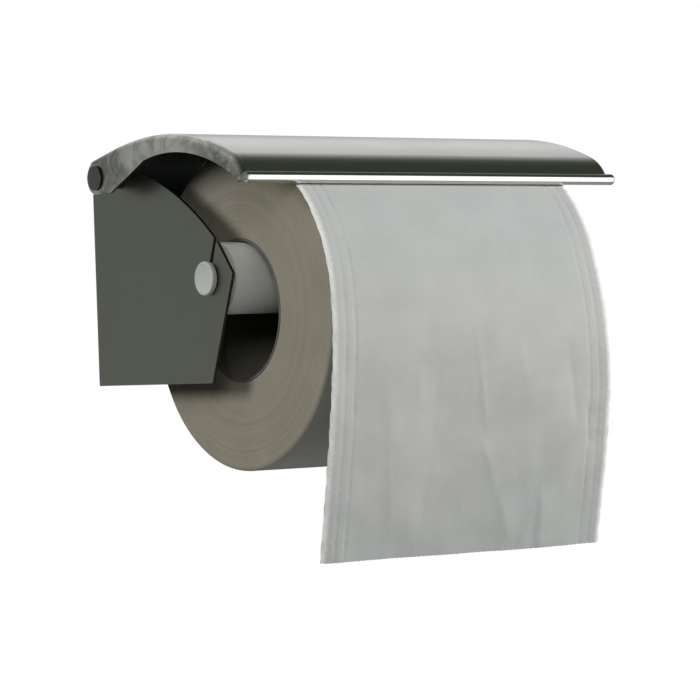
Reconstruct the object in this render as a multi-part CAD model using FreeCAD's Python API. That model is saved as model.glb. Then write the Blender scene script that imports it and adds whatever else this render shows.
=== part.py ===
import FreeCAD, Part
import math
import os

# Sizes are in millimetres. X runs along the spindle, Y points to the wall and Z points up.
# The origin is on the back plate's rear face, which lies on the wall, midway between its screw rows.

# Paper roll on its card core, and the sheet that hangs from it
paper_width = 100.0
core_bore_radius = 20.6
core_wall = 0.8
winding_gap = 0.1
roll_gap = 0.3
sheet_thickness = 0.3
sheet_drop = 74.2
drape_radius = 344.0

# Wall bracket: one bent sheet, a back plate with two cheeks and an upstand behind the lid
bracket_sheet = 1.0
bracket_bend = 1.0
plate_height = 60.0
side_gap = 9.3
spindle_setback = 66.4
spindle_height = 31.0
peak_ahead = 12.8
peak_rise = 1.1
tab_ahead = 5.4
tab_rise = 10.2
shoulder_behind = 15.0
shoulder_rise = 24.7
cheek_ear_radius = 3.6
upstand_rise = 9.8
upstand_inset = 3.0
upstand_corner = 4.0
screw_span_x = 80.0
screw_span_z = 36.0
screw_hole_radius = 2.5

# Spindle: a tube that turns on two end plugs, each held in its cheek's slot by a flat neck
tube_radius = 10.7
tube_wall = 1.6
hang_gap = 0.3
plug_gap = 0.3
flange_thickness = 1.3
spigot_length = 16.0
spigot_wall = 1.6
neck_thickness = 1.7
neck_length = 5.6
slot_clearance = 0.1
slot_mouth_ahead = 4.0
slot_mouth_rise = 10.5
button_radius = 5.05
button_thickness = 1.6
button_rim = 0.5

# Lid: a formed hood with end lips, hinge ears and a rolled front edge
hinge_behind = 49.3
hinge_rise = 33.0
lid_sheet = 0.8
crest_ahead = 34.3
crest_rise = 10.6
rear_radius = 128.0
front_radius = 103.0
front_reach = 42.6
front_slope = math.radians(61.0)
front_bend = 4.0
front_flange = 6.18
bead_radius = 1.7
lip_depth = 6.0
lip_peak_ahead = 6.8
lip_setback = 5.0
lip_corner = 1.2
gusset_behind_crest = 5.9
gusset_depth = 7.3
gusset_toe_ahead = 8.5
lid_ear_back = 4.3
lid_ear_drop = 5.1

# Hinge: a headed pin through each lid ear and its cheek, with a bush between them
pin_radius = 2.0
pin_head_radius = 3.8
pin_head_height = 1.0
pin_head_rim = 0.4
pin_tail_radius = 3.2
pin_tail_height = 1.2
bush_radius = 3.3
bush_length = 7.1
bush_gap = 0.3

running_gap = 0.05
overrun = 2.0

# Places that follow from the sizes
spindle_y = -spindle_setback
spindle_z = spindle_height - plate_height / 2
hinge_y = spindle_y + hinge_behind
hinge_z = spindle_z + hinge_rise
roll_z = spindle_z - (core_bore_radius - tube_radius - hang_gap)
cheek_inner = paper_width / 2 + side_gap
cheek_outer = cheek_inner + bracket_sheet
lip_inner = cheek_outer + bush_gap + bush_length
lid_half = lip_inner + lid_sheet
flange_outer = cheek_inner - plug_gap
flange_inner = flange_outer - flange_thickness
tube_half = flange_inner - plug_gap
button_inner = cheek_outer + plug_gap
button_outer = button_inner + button_thickness
crest_y = hinge_y - crest_ahead
crest_z = hinge_z + crest_rise
rear_centre_z = crest_z - rear_radius
front_centre_z = crest_z - front_radius
front_break = math.asin(front_reach / front_radius)


def side(y, z):
    return FreeCAD.Vector(0, y, z)


def swing(centre, radius, angle):
    # A point on a circle in the side view, with the angle counted from the top towards the front.
    return centre + side(-radius * math.sin(angle), radius * math.cos(angle))


def line(start, end):
    return Part.makeLine(start, end)


def arc(start, middle, end):
    return Part.Arc(start, middle, end).toShape()


def polyline(points):
    return [line(start, end) for start, end in zip(points, points[1:])]


def prism(edges, x_low, x_high):
    face = Part.Face(Part.Wire(edges))
    face.translate(FreeCAD.Vector(x_low, 0, 0))
    return face.extrude(FreeCAD.Vector(x_high - x_low, 0, 0))


def bar(radius, x_low, x_high, y, z):
    along_x = FreeCAD.Vector(1, 0, 0)
    return Part.makeCylinder(radius, x_high - x_low, FreeCAD.Vector(x_low, y, z), along_x)


def pipe(outer_radius, inner_radius, x_low, x_high, y, z):
    bore = bar(inner_radius, x_low - overrun, x_high + overrun, y, z)
    return bar(outer_radius, x_low, x_high, y, z).cut(bore).Solids[0]


def joined(solids):
    return solids[0].fuse(solids[1:]).removeSplitter().Solids[0]


def mirrored(solid):
    return solid.mirror(FreeCAD.Vector(0, 0, 0), FreeCAD.Vector(1, 0, 0))


def bevelled_disc(radius, x_low, x_high, y, z, rim):
    # A disc whose outer rim, on the high X side, is bevelled.
    disc = bar(radius, x_low, x_high, y, z)
    rims = [edge for edge in disc.Edges if edge.CenterOfMass.x > (x_low + 3 * x_high) / 4]
    return disc.makeChamfer(rim, rims)


def stadium(centre, direction, low, high, radius, x_low, x_high):
    # A flat bar with round ends, from low to high along a direction in the side view.
    across = side(-direction.z, direction.y) * radius
    start = centre + direction * low
    end = centre + direction * high
    tail = start - direction * radius
    nose = end + direction * radius
    edges = [
        line(start + across, end + across),
        arc(end + across, nose, end - across),
        line(end - across, start - across),
        arc(start - across, tail, start + across),
    ]
    return prism(edges, x_low, x_high)


spindle = side(spindle_y, spindle_z)
hinge = side(hinge_y, hinge_z)
roll_centre = side(spindle_y, roll_z)
rear_centre = side(crest_y, rear_centre_z)
front_centre = side(crest_y, front_centre_z)
slot_direction = side(-slot_mouth_ahead, slot_mouth_rise).normalize()
neck_reach = (neck_length - neck_thickness) / 2


def bent_channel():
    # The sheet in plan: a U with rounded bends, tall enough for the cheeks to be cut from it.
    depth = spindle_setback + peak_ahead + overrun
    height = plate_height + 2 * hinge_rise
    corner = FreeCAD.Vector(-cheek_outer, -depth, -height / 2)
    inner_corner = FreeCAD.Vector(-cheek_inner, -depth - overrun, -height / 2)
    outer = Part.makeBox(2 * cheek_outer, depth, height, corner)
    inner = Part.makeBox(2 * cheek_inner, depth + overrun - bracket_sheet, height, inner_corner)
    outer = outer.makeFillet(bracket_bend + bracket_sheet, rear_corners(outer))
    inner = inner.makeFillet(bracket_bend, rear_corners(inner))
    return outer.cut(inner)


def rear_corners(box):
    limits = box.BoundBox
    return [
        edge for edge in box.Edges
        if edge.CenterOfMass.y > (limits.YMin + 3 * limits.YMax) / 4
        and abs(edge.CenterOfMass.x) > limits.XMax / 2
    ]


def cheek_outline():
    plate_top = plate_height / 2
    ear_top = swing(hinge, cheek_ear_radius, 0)
    ear_back = swing(hinge, cheek_ear_radius, -math.pi / 2)
    ear_middle = swing(hinge, cheek_ear_radius, -math.pi / 4)
    tab = spindle + side(-tab_ahead, tab_rise)
    shoulder = spindle + side(shoulder_behind, shoulder_rise)
    lower_edges = polyline([
        side(ear_back.y, plate_top),
        side(0, plate_top),
        side(0, -plate_top),
        side(spindle_y, -plate_top),
        spindle + side(-peak_ahead, peak_rise),
        tab,
    ])
    upper_edges = [
        arc(tab, shoulder, ear_top),
        arc(ear_top, ear_middle, ear_back),
        line(ear_back, side(ear_back.y, plate_top)),
    ]
    return lower_edges + upper_edges


def spindle_slot():
    mouth = math.hypot(slot_mouth_ahead, slot_mouth_rise) + overrun
    half_width = neck_thickness / 2 + slot_clearance
    return stadium(spindle, slot_direction, -neck_reach, mouth, half_width,
                   cheek_inner - overrun, cheek_outer + overrun)


def upstand():
    # The strip of back plate that rises behind the lid, with its top corners rounded.
    half = cheek_inner - upstand_inset
    corner = FreeCAD.Vector(-half, -bracket_sheet, 0)
    strip = Part.makeBox(2 * half, bracket_sheet, plate_height / 2 + upstand_rise, corner)
    limits = strip.BoundBox
    top_corners = [
        edge for edge in strip.Edges
        if edge.CenterOfMass.z > 3 * limits.ZMax / 4
        and abs(edge.CenterOfMass.x) > limits.XMax / 2
    ]
    return strip.makeFillet(upstand_corner, top_corners)


def wall_bracket():
    channel = bent_channel().common(prism(cheek_outline(), -cheek_outer, cheek_outer))
    bracket = joined([channel, upstand()])
    slot = spindle_slot()
    cuts = [slot, mirrored(slot)]
    cuts.append(bar(pin_radius + running_gap, -cheek_outer - overrun, cheek_outer + overrun, hinge_y, hinge_z))
    into_wall = FreeCAD.Vector(0, 1, 0)
    for x in (-screw_span_x / 2, screw_span_x / 2):
        for z in (-screw_span_z / 2, screw_span_z / 2):
            start = FreeCAD.Vector(x, -bracket_sheet - overrun, z)
            cuts.append(Part.makeCylinder(screw_hole_radius, bracket_sheet + 2 * overrun, start, into_wall))
    return bracket.cut(cuts).Solids[0]


def skin_points(inset):
    # The lid's section from its rear edge to its front edge, at a depth below the outer face.
    rear_angle = math.atan2(hinge_y - crest_y, hinge_z - rear_centre_z)
    bend_centre = swing(front_centre, front_radius - front_bend, front_break)
    bend_end = swing(bend_centre, front_bend - inset, front_slope)
    return {
        "rear": swing(rear_centre, rear_radius - inset, -rear_angle),
        "rear_middle": swing(rear_centre, rear_radius - inset, -rear_angle / 2),
        "crest": swing(rear_centre, rear_radius - inset, 0),
        "front_middle": swing(front_centre, front_radius - inset, front_break / 2),
        "break": swing(front_centre, front_radius - inset, front_break),
        "bend": swing(bend_centre, front_bend - inset, (front_break + front_slope) / 2),
        "bend_end": bend_end,
        "front": bend_end - side(math.cos(front_slope), math.sin(front_slope)) * front_flange,
    }


def skin_edges(points):
    return [
        arc(points["rear"], points["rear_middle"], points["crest"]),
        arc(points["crest"], points["front_middle"], points["break"]),
        arc(points["break"], points["bend"], points["bend_end"]),
        line(points["bend_end"], points["front"]),
    ]


skin_outside = skin_points(0)
skin_inside = skin_points(lid_sheet)
bead = swing(skin_outside["front"], bead_radius - lid_sheet, front_slope)
roll_radius = bead.distanceToPoint(roll_centre) - bead_radius - roll_gap


def hood_outline():
    # The lid seen from the side, with the lips' lower edge and the rounded hinge ear.
    lip_front = skin_inside["front"] + side(lip_setback, 0)
    lip_peak = side(crest_y - lip_peak_ahead, crest_z - lip_depth)
    gusset_top = side(crest_y + gusset_behind_crest, crest_z - gusset_depth)
    ear_bottom = hinge - side(0, lid_ear_drop)
    ear_back = hinge + side(lid_ear_back, 0)
    gusset_toe = ear_bottom - side(gusset_toe_ahead, 0)
    lip_edges = [
        line(skin_outside["front"], skin_inside["front"]),
        line(skin_inside["front"], lip_front),
        arc(lip_front, lip_peak, gusset_top),
        line(gusset_top, gusset_toe),
        line(gusset_toe, ear_bottom),
        arc(ear_bottom, ear_back, skin_outside["rear"]),
    ]
    return skin_edges(skin_outside) + lip_edges


def hood_cavity():
    # What the press pushes out between the two lips, open below and at the back.
    rear_rim = rear_centre + (skin_outside["rear"] - rear_centre) * ((rear_radius + overrun) / rear_radius)
    back = hinge_y + lid_ear_back + overrun
    floor = hinge_z - lid_ear_drop - lip_depth - overrun
    open_edges = polyline([
        skin_inside["front"],
        side(skin_inside["front"].y, floor),
        side(back, floor),
        side(back, rear_rim.z),
        rear_rim,
        skin_inside["rear"],
    ])
    return prism(skin_edges(skin_inside) + open_edges, -lip_inner, lip_inner)


def lip_corners(hood):
    # The edges where the skin turns down into its two lips.
    corners = [skin_outside[name] for name in ("rear", "crest", "break", "bend_end", "front")]

    def on_outline(vertex):
        return any(side(vertex.Y, vertex.Z).distanceToPoint(corner) < running_gap for corner in corners)

    found = []
    for edge in hood.Edges:
        ends = edge.Vertexes
        if all(on_outline(end) for end in ends) and abs(ends[0].X - ends[-1].X) < running_gap:
            found.append(edge)
    return found


def lid():
    hood = prism(hood_outline(), -lid_half, lid_half)
    hood = hood.makeFillet(lip_corner, lip_corners(hood))
    hood = hood.cut(hood_cavity())
    roll_edge = pipe(bead_radius, bead_radius - lid_sheet, -lid_half, lid_half, bead.y, bead.z)
    hood = joined([hood, roll_edge])
    pin_holes = bar(pin_radius + running_gap, -lid_half - overrun, lid_half + overrun, hinge_y, hinge_z)
    return hood.cut(pin_holes).Solids[0]


def hinge_pin():
    tail_outer = cheek_inner - bush_gap
    tail = bar(pin_tail_radius, tail_outer - pin_tail_height, tail_outer, hinge_y, hinge_z)
    shank = bar(pin_radius, tail_outer, lid_half, hinge_y, hinge_z)
    head = bevelled_disc(pin_head_radius, lid_half, lid_half + pin_head_height, hinge_y, hinge_z, pin_head_rim)
    return joined([shank, tail, head])


def hinge_bush():
    return pipe(bush_radius, pin_radius + running_gap, cheek_outer + bush_gap, lip_inner, hinge_y, hinge_z)


def roller_tube():
    return pipe(tube_radius, tube_radius - tube_wall, -tube_half, tube_half, spindle_y, spindle_z)


def end_plug():
    spigot_radius = tube_radius - tube_wall - running_gap
    spigot = pipe(spigot_radius, spigot_radius - spigot_wall,
                  tube_half - spigot_length, flange_inner, spindle_y, spindle_z)
    flange = bar(tube_radius, flange_inner, flange_outer, spindle_y, spindle_z)
    neck = stadium(spindle, slot_direction, -neck_reach, neck_reach, neck_thickness / 2,
                   flange_outer, button_inner)
    button = bevelled_disc(button_radius, button_inner, button_outer, spindle_y, spindle_z, button_rim)
    return joined([flange, spigot, neck, button])


def paper_core():
    return pipe(core_bore_radius + core_wall, core_bore_radius,
                -paper_width / 2, paper_width / 2, spindle_y, roll_z)


def paper_roll():
    return pipe(roll_radius, core_bore_radius + core_wall + winding_gap,
                -paper_width / 2, paper_width / 2, spindle_y, roll_z)


def sheet_points(inset):
    # Round the roll from just below the lid's bead to the foremost point, then down in a slack curve.
    radius = roll_radius + roll_gap + inset
    bead_angle = math.atan2(roll_centre.y - bead.y, bead.z - roll_centre.z)
    start_angle = bead_angle + (bead_radius + roll_gap) / roll_radius
    front_angle = math.pi / 2
    drape_centre = roll_centre + side(drape_radius - roll_radius - roll_gap, 0)
    fall_angle = math.asin(sheet_drop / drape_radius)
    return [
        swing(roll_centre, radius, start_angle),
        swing(roll_centre, radius, (start_angle + front_angle) / 2),
        swing(roll_centre, radius, front_angle),
        swing(drape_centre, drape_radius + inset, front_angle + fall_angle / 2),
        swing(drape_centre, drape_radius + inset, front_angle + fall_angle),
    ]


def loose_sheet():
    rear = sheet_points(0)
    front = sheet_points(sheet_thickness)
    edges = [
        arc(*rear[0:3]),
        arc(*rear[2:5]),
        line(rear[4], front[4]),
        arc(*front[4:1:-1]),
        arc(*front[2::-1]),
        line(front[0], rear[0]),
    ]
    return prism(edges, -paper_width / 2, paper_width / 2)


right_pin = hinge_pin()
right_bush = hinge_bush()
right_plug = end_plug()
pieces = {
    "wall_bracket": wall_bracket(),
    "lid": lid(),
    "hinge_pin_left": mirrored(right_pin),
    "hinge_pin_right": right_pin,
    "hinge_bush_left": mirrored(right_bush),
    "hinge_bush_right": right_bush,
    "roller_tube": roller_tube(),
    "end_plug_left": mirrored(right_plug),
    "end_plug_right": right_plug,
    "paper_core": paper_core(),
    "paper_roll": paper_roll(),
    "loose_sheet": loose_sheet(),
}

os.makedirs("parts", exist_ok=True)
for name, solid in pieces.items():
    solid.exportStep("parts/" + name + ".step")
    print(name, solid.ShapeType, len(solid.Solids), solid.isValid(), round(solid.Volume))
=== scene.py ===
import bmesh
import bpy
import math
import numpy as np
from mathutils import Matrix, Vector


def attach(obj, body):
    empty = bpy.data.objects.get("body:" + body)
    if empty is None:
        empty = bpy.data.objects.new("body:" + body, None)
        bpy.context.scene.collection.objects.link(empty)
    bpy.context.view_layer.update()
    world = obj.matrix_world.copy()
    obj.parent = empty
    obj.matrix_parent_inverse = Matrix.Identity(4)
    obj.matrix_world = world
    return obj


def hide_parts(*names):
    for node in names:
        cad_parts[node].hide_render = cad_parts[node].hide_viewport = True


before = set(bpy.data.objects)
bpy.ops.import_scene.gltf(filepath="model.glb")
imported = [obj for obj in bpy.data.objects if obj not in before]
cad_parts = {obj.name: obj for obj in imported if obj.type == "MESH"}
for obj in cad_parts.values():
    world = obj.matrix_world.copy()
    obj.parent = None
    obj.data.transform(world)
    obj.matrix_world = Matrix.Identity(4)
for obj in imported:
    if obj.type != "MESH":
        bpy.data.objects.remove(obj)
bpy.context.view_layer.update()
scene = bpy.context.scene
mm = 0.001

# Places that several pieces share, in millimetres: x along the spindle, y towards the wall, z up
places = {"spindle": (-66.4, 1.0), "roll": (-66.4, -8.6), "hinge": (-17.1, 34.0),
          "cheekInner": 59.3, "cheekOuter": 60.3, "lidHalf": 68.5}
sides = ((1, "Right", "right"), (-1, "Left", "left"))


# Node helpers

def feed(socket, value):
    if isinstance(value, bpy.types.NodeSocket):
        socket.id_data.links.new(value, socket)
    else:
        socket.default_value = value


def put(kind, inputs, tree=None, **settings):
    # a new node; where no tree is named, it goes where its first linked input comes from
    if tree is None:
        tree = next(value.id_data for value in inputs.values() if isinstance(value, bpy.types.NodeSocket))
    node = tree.nodes.new(kind)
    for name, value in settings.items():
        setattr(node, name, value)
    for name, value in inputs.items():
        feed(node.inputs[name], value)
    return node


def maths(operation, first, second=0.0, third=0.0):
    return put("ShaderNodeMath", {0: first, 1: second, 2: third}, operation=operation).outputs[0]


def times(first, second):
    return maths("MULTIPLY", first, second)


def scaled(value, scale, shift):
    return maths("MULTIPLY_ADD", value, scale, shift)


def vectorMaths(operation, first, second=(0, 0, 0)):
    node = put("ShaderNodeVectorMath", {0: first, 1: second}, operation=operation)
    return node.outputs["Value" if operation in ("LENGTH", "DOT_PRODUCT") else "Vector"]


def split(vector):
    return put("ShaderNodeSeparateXYZ", {0: vector}).outputs


def ramp(value, fromLow, fromHigh, toLow=0.0, toHigh=1.0):
    node = put("ShaderNodeMapRange", {"Value": value, "From Min": fromLow, "From Max": fromHigh,
                                            "To Min": toLow, "To Max": toHigh}, interpolation_type="SMOOTHSTEP")
    return node.outputs["Result"]


def fall(value, low, high):
    return ramp(value, low, high, 1.0, 0.0)


def noise(scale, detail=2.0, roughness=0.5, distortion=0.0, vector=None, w=None):
    inputs = {"Scale": scale, "Detail": detail, "Roughness": roughness, "Distortion": distortion}
    if vector is not None:
        inputs["Vector"] = vector
    if w is not None:
        inputs["W"] = w
    size = "3D" if w is None else "1D" if vector is None else "4D"
    return put("ShaderNodeTexNoise", inputs, noise_dimensions=size).outputs[0]


def blendColours(factor, first, second):
    node = put("ShaderNodeMix", {0: factor}, data_type="RGBA")
    for index, colour in ((6, first), (7, second)):
        feed(node.inputs[index], (*colour, 1.0) if isinstance(colour, tuple) else colour)
    return node.outputs[2]


def newGroup(name, kind, inputs, outputs):
    tree = bpy.data.node_groups.new(name, kind)
    for way, sockets in (("INPUT", inputs), ("OUTPUT", outputs)):
        for label, socketKind in sockets.items():
            tree.interface.new_socket(label, in_out=way, socket_type="NodeSocket" + socketKind)
    return tree, tree.nodes.new("NodeGroupInput").outputs, tree.nodes.new("NodeGroupOutput").inputs


def useGroup(group, inputs):
    return put("ShaderNodeGroup", inputs, node_tree=group).outputs


# Effects that more than one material uses; noises are given as scale, detail, roughness, distortion

grainPlan = {"fine": (1.0, 5.0, 0.65), "fineShare": 0.6, "broad": (0.22,), "broadShare": 0.4, "range": (0.36, 0.64)}
marksPlan = {"patches": (4.0, 0.55, 0.8), "ripple": (1.0, 0.4), "range": (0.35, 0.68)}
fibrePlan = {"stretches": ((1.0, 0.28, 0.6), (0.3, 1.0, 0.75)), "fibres": (6.0, 0.7, 1.2), "fibreShare": 0.7,
             "cloudScale": 0.03, "cloudDetail": 3.0, "cloudShare": 0.3, "range": (0.34, 0.66)}


def brushGrainGroup(plan):
    # fine streaks along one direction, as a sanding belt leaves them
    tree, given, result = newGroup("brushGrain", "ShaderNodeTree", {"Coordinates": "Vector", "Stretch": "Vector"},
                                   {"Streak": "Float", "Height": "Float"})
    along = vectorMaths("MULTIPLY", given["Coordinates"], given["Stretch"])
    broad = times(noise(*plan["broad"], vector=along), plan["broadShare"])
    mixed = scaled(noise(*plan["fine"], vector=along), plan["fineShare"], broad)
    feed(result["Streak"], ramp(mixed, *plan["range"]))
    feed(result["Height"], mixed)
    return tree


def handledMarksGroup(plan):
    # soft patches where hands and cloths have dulled a surface, and the slight waviness under them
    tree, given, result = newGroup("handledMarks", "ShaderNodeTree", {"Coordinates": "Vector", "Patch Scale": "Float"},
                                   {"Smudge": "Float", "Ripple": "Float"})
    patches = noise(given["Patch Scale"], *plan["patches"], vector=given["Coordinates"])
    ripple = noise(given["Patch Scale"], *plan["ripple"], vector=given["Coordinates"])
    feed(result["Smudge"], ramp(patches, *plan["range"]))
    feed(result["Ripple"], ripple)
    return tree


def paperFibreGroup(plan):
    # short crossing fibres and cloudy pulp, for tissue and card
    tree, given, result = newGroup("paperFibre", "ShaderNodeTree", {"Coordinates": "Vector", "Fibre Scale": "Float"},
                                   {"Tone": "Float", "Height": "Float"})
    layers = []
    for stretch in plan["stretches"]:
        turned = vectorMaths("MULTIPLY", given["Coordinates"], stretch)
        layers.append(noise(given["Fibre Scale"], *plan["fibres"], vector=turned))
    cloudScale = times(given["Fibre Scale"], plan["cloudScale"])
    cloud = noise(cloudScale, plan["cloudDetail"], vector=given["Coordinates"])
    fibres = times(maths("ADD", *layers), 1 / len(layers))
    tone = scaled(fibres, plan["fibreShare"], times(cloud, plan["cloudShare"]))
    feed(result["Tone"], ramp(tone, *plan["range"]))
    feed(result["Height"], fibres)
    return tree


brushGrain = brushGrainGroup(grainPlan)
handledMarks = handledMarksGroup(marksPlan)
paperFibre = paperFibreGroup(fibrePlan)


# Material helpers

def startMaterial(name):
    material = bpy.data.materials.new(name)
    material.use_nodes = True
    tree = material.node_tree
    tree.nodes.clear()
    shader = tree.nodes.new("ShaderNodeBsdfPrincipled")
    put("ShaderNodeOutputMaterial", {"Surface": shader.outputs[0]})
    return material, shader, tree.nodes.new("ShaderNodeTexCoord").outputs["Object"]


def coat(shader, colour, rough, normal):
    for socket, value in (("Base Color", colour), ("Roughness", rough), ("Normal", normal)):
        feed(shader.inputs[socket], value)


def bump(height, distance, normal=None):
    inputs = {"Height": height, "Distance": distance, "Strength": 1.0}
    if normal is not None:
        inputs["Normal"] = normal
    return put("ShaderNodeBump", inputs).outputs[0]


def attribute(tree, name, output="Fac"):
    return put("ShaderNodeAttribute", {}, tree, attribute_name=name).outputs[output]


def marksOn(coordinates, scale):
    return useGroup(handledMarks, {"Coordinates": coordinates, "Patch Scale": scale})


def fibresOn(coordinates, scale):
    return useGroup(paperFibre, {"Coordinates": coordinates, "Fibre Scale": scale})


# Steel: one recipe, with each piece's own finish on top; places in the looks are in metres

def steelMaterial(name, look, finish):
    material, shader, coordinates = startMaterial(name)
    grain = useGroup(brushGrain, {"Coordinates": coordinates, "Stretch": look["stretch"]})
    marks = marksOn(coordinates, look["patchScale"])
    colour = blendColours(grain["Streak"], look["dark"], look["light"])
    colour = blendColours(times(marks["Smudge"], look["smudgeTone"]), colour, look["dull"])
    rough = scaled(marks["Smudge"], look["roughSmudge"], look["rough"])
    rough = scaled(grain["Streak"], look["roughSpread"], rough)
    normal = bump(grain["Height"], look["grainDepth"], bump(marks["Ripple"], look["ripple"]))
    coat(shader, *finish(coordinates, look, colour, rough, normal))
    shader.inputs["Metallic"].default_value = 1.0
    return material


def cutEdges(look, colour, rough):
    # sheared edges are duller than the faces; their near-black colour is partly their own tone and partly painted shade
    mask = attribute(rough.id_data, "cutEdge")
    rough = scaled(mask, maths("SUBTRACT", look["edgeRough"], rough), rough)
    return blendColours(mask, colour, look["edge"]), rough


def bracketFinish(coordinates, look, colour, rough, normal):
    y, z = split(coordinates)[1:3]
    # painted shade: the bracket is painted lighter towards the bottom, so its top stays darker as if the lid shaded it
    colour = blendColours(ramp(z, *look["paintedLightHeight"], look["paintedLightShare"], 0.0), colour, look["low"])
    # painted shade: the back plate's inner face and its upstand are painted near black, as the shade of the hollow
    # under the lid; they are also rougher
    inner = times(ramp(y, *look["plateFront"]), fall(y, *look["plateBack"]))
    upstand = times(ramp(z, *look["upstandFoot"]), fall(y, *look["upstandBack"]))
    plate = maths("MAXIMUM", inner, upstand)
    colour = blendColours(plate, colour, look["plate"])
    rough = scaled(plate, look["plateRough"], rough)
    return *cutEdges(look, colour, rough), normal


def lidFinish(coordinates, look, colour, rough, normal):
    # pressing leaves the turned-down ends uneven; their colour is a painted reflection, lighter than the top with
    # darker blotches at random, and painted shade darkens them near the hinge and the front corner
    x, y, z = split(coordinates)[:3]
    ends = ramp(maths("ABSOLUTE", x), *look["endFrom"])
    dents = marksOn(coordinates, look["dentScale"])
    # painted shade near the hinge and the front corner
    worn = maths("MAXIMUM", ramp(y, *look["lipShadeRear"]), fall(y, *look["lipShadeFront"]))
    blotched = scaled(worn, look["wornTone"], look["blotchShift"])
    blotched = scaled(dents["Smudge"], look["dentTone"], blotched)
    colour = blendColours(ends, colour, blendColours(blotched, look["lipPaintedLight"], look["lipPaintedShade"]))
    normal = bump(times(dents["Ripple"], ends), look["dentDepth"], normal)
    rough = scaled(ends, look["endRough"], rough)
    # the inner side is unpolished, and painted dark as painted shade in the hollow under the lid
    inside = attribute(coordinates.id_data, "innerFace")
    colour = blendColours(inside, colour, look["inside"])
    rough = scaled(inside, look["insideRough"], rough)
    # darker in the corner above the bead
    corner = times(ramp(z, *look["cornerHeight"]), fall(y, *look["cornerDepth"]))
    colour = blendColours(corner, colour, look["dirt"])
    return *cutEdges(look, colour, rough), normal


def pinFinish(coordinates, look, colour, rough, normal):
    # painted shade: the side of the head and the corner under it are painted near black, and made rougher
    away = maths("ABSOLUTE", split(coordinates)[0])
    corner = times(ramp(away, *look["headShadeFrom"]), fall(away, *look["headShadeTo"]))
    return blendColours(corner, colour, look["edge"]), scaled(corner, look["headShadeRough"], rough), normal


lidLook = {
    "stretch": (90.0, 3000.0, 3000.0), "patchScale": 32.0, "dark": (0.635, 0.645, 0.610),
    "light": (0.690, 0.695, 0.665), "dull": (0.600, 0.610, 0.575), "smudgeTone": 0.4, "rough": 0.11,
    "roughSpread": 0.03, "roughSmudge": 0.05, "ripple": 0.00012, "grainDepth": 0.000004,
    "endFrom": (0.0655, 0.0684), "endRough": 0.08, "lipShadeRear": (-0.046, -0.026), "lipShadeFront": (-0.088, -0.070),
    "wornTone": 0.55, "dentTone": 0.70, "blotchShift": -0.10, "dentScale": 150.0, "dentDepth": 0.0003,
    "lipPaintedLight": (0.95, 0.99, 0.90), "lipPaintedShade": (0.325, 0.35, 0.295), "edge": (0.035, 0.037, 0.032), "edgeRough": 0.5,
    "cornerHeight": (0.0297, 0.0302), "cornerDepth": (-0.0986, -0.0982), "dirt": (0.20, 0.21, 0.185),
    "inside": (0.17, 0.175, 0.162), "insideRough": 0.22}
bracketLook = {
    "stretch": (2600.0, 160.0, 2600.0), "patchScale": 20.0, "dark": (0.292, 0.315, 0.252),
    "light": (0.312, 0.334, 0.270), "dull": (0.285, 0.310, 0.248), "smudgeTone": 0.6, "rough": 0.34,
    "roughSpread": 0.04, "roughSmudge": 0.06, "ripple": 0.0001, "grainDepth": 0.000005,
    "low": (0.330, 0.352, 0.285), "paintedLightHeight": (-0.03, 0.025), "paintedLightShare": 0.55,
    "plate": (0.012, 0.015, 0.015), "plateRough": 0.25, "plateFront": (-0.0014, -0.0011),
    "plateBack": (-0.0007, -0.0003), "upstandFoot": (0.0385, 0.0392), "upstandBack": (-0.0002, -0.0001),
    "edge": (0.045, 0.05, 0.04), "edgeRough": 0.5}
pinLook = {
    "stretch": (900.0, 900.0, 900.0), "patchScale": 160.0, "dark": (0.165, 0.17, 0.15),
    "light": (0.235, 0.24, 0.215), "dull": (0.16, 0.165, 0.145), "smudgeTone": 0.5, "rough": 0.22,
    "roughSpread": 0.08, "roughSmudge": 0.08, "ripple": 0.00006, "grainDepth": 0.00001,
    "edge": (0.03, 0.031, 0.028), "headShadeFrom": (0.0675, 0.0682), "headShadeTo": (0.0689, 0.0692), "headShadeRough": 0.2}
lidSteel = steelMaterial("lidSteel", lidLook, lidFinish)
bracketSteel = steelMaterial("bracketSteel", bracketLook, bracketFinish)
pinSteel = steelMaterial("pinSteel", pinLook, pinFinish)


# Plastic

plasticPlan = {"gritDetail": 3.0, "gritRange": (0.35, 0.65), "wornTone": 0.4, "wornRough": 0.14}
tubeLook = {"patchScale": 45.0, "grit": 2600.0, "gritDepth": 0.000012, "rough": 0.38,
            "dark": (0.785, 0.810, 0.755), "light": (0.830, 0.855, 0.800), "worn": (0.765, 0.790, 0.735)}
plugLook = {"patchScale": 120.0, "grit": 3200.0, "gritDepth": 0.00001, "rough": 0.40,
            "dark": (0.570, 0.585, 0.568), "light": (0.610, 0.625, 0.608), "worn": (0.550, 0.565, 0.548)}
bushLook = {"patchScale": 150.0, "grit": 3000.0, "gritDepth": 0.000015, "rough": 0.5,
            "dark": (0.020, 0.021, 0.019), "light": (0.034, 0.035, 0.032), "worn": (0.040, 0.041, 0.038)}


def plasticMaterial(name, look):
    material, shader, coordinates = startMaterial(name)
    marks = marksOn(coordinates, look["patchScale"])
    grit = noise(look["grit"], plasticPlan["gritDetail"], vector=coordinates)
    colour = blendColours(ramp(grit, *plasticPlan["gritRange"]), look["dark"], look["light"])
    colour = blendColours(times(marks["Smudge"], plasticPlan["wornTone"]), colour, look["worn"])
    rough = scaled(marks["Smudge"], plasticPlan["wornRough"], look["rough"])
    coat(shader, colour, rough, bump(grit, look["gritDepth"]))
    return material


tubePlastic = plasticMaterial("tubePlastic", tubeLook)
plugPlastic = plasticMaterial("plugPlastic", plugLook)
bushPlastic = plasticMaterial("bushPlastic", bushLook)


# Paper and card

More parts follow.
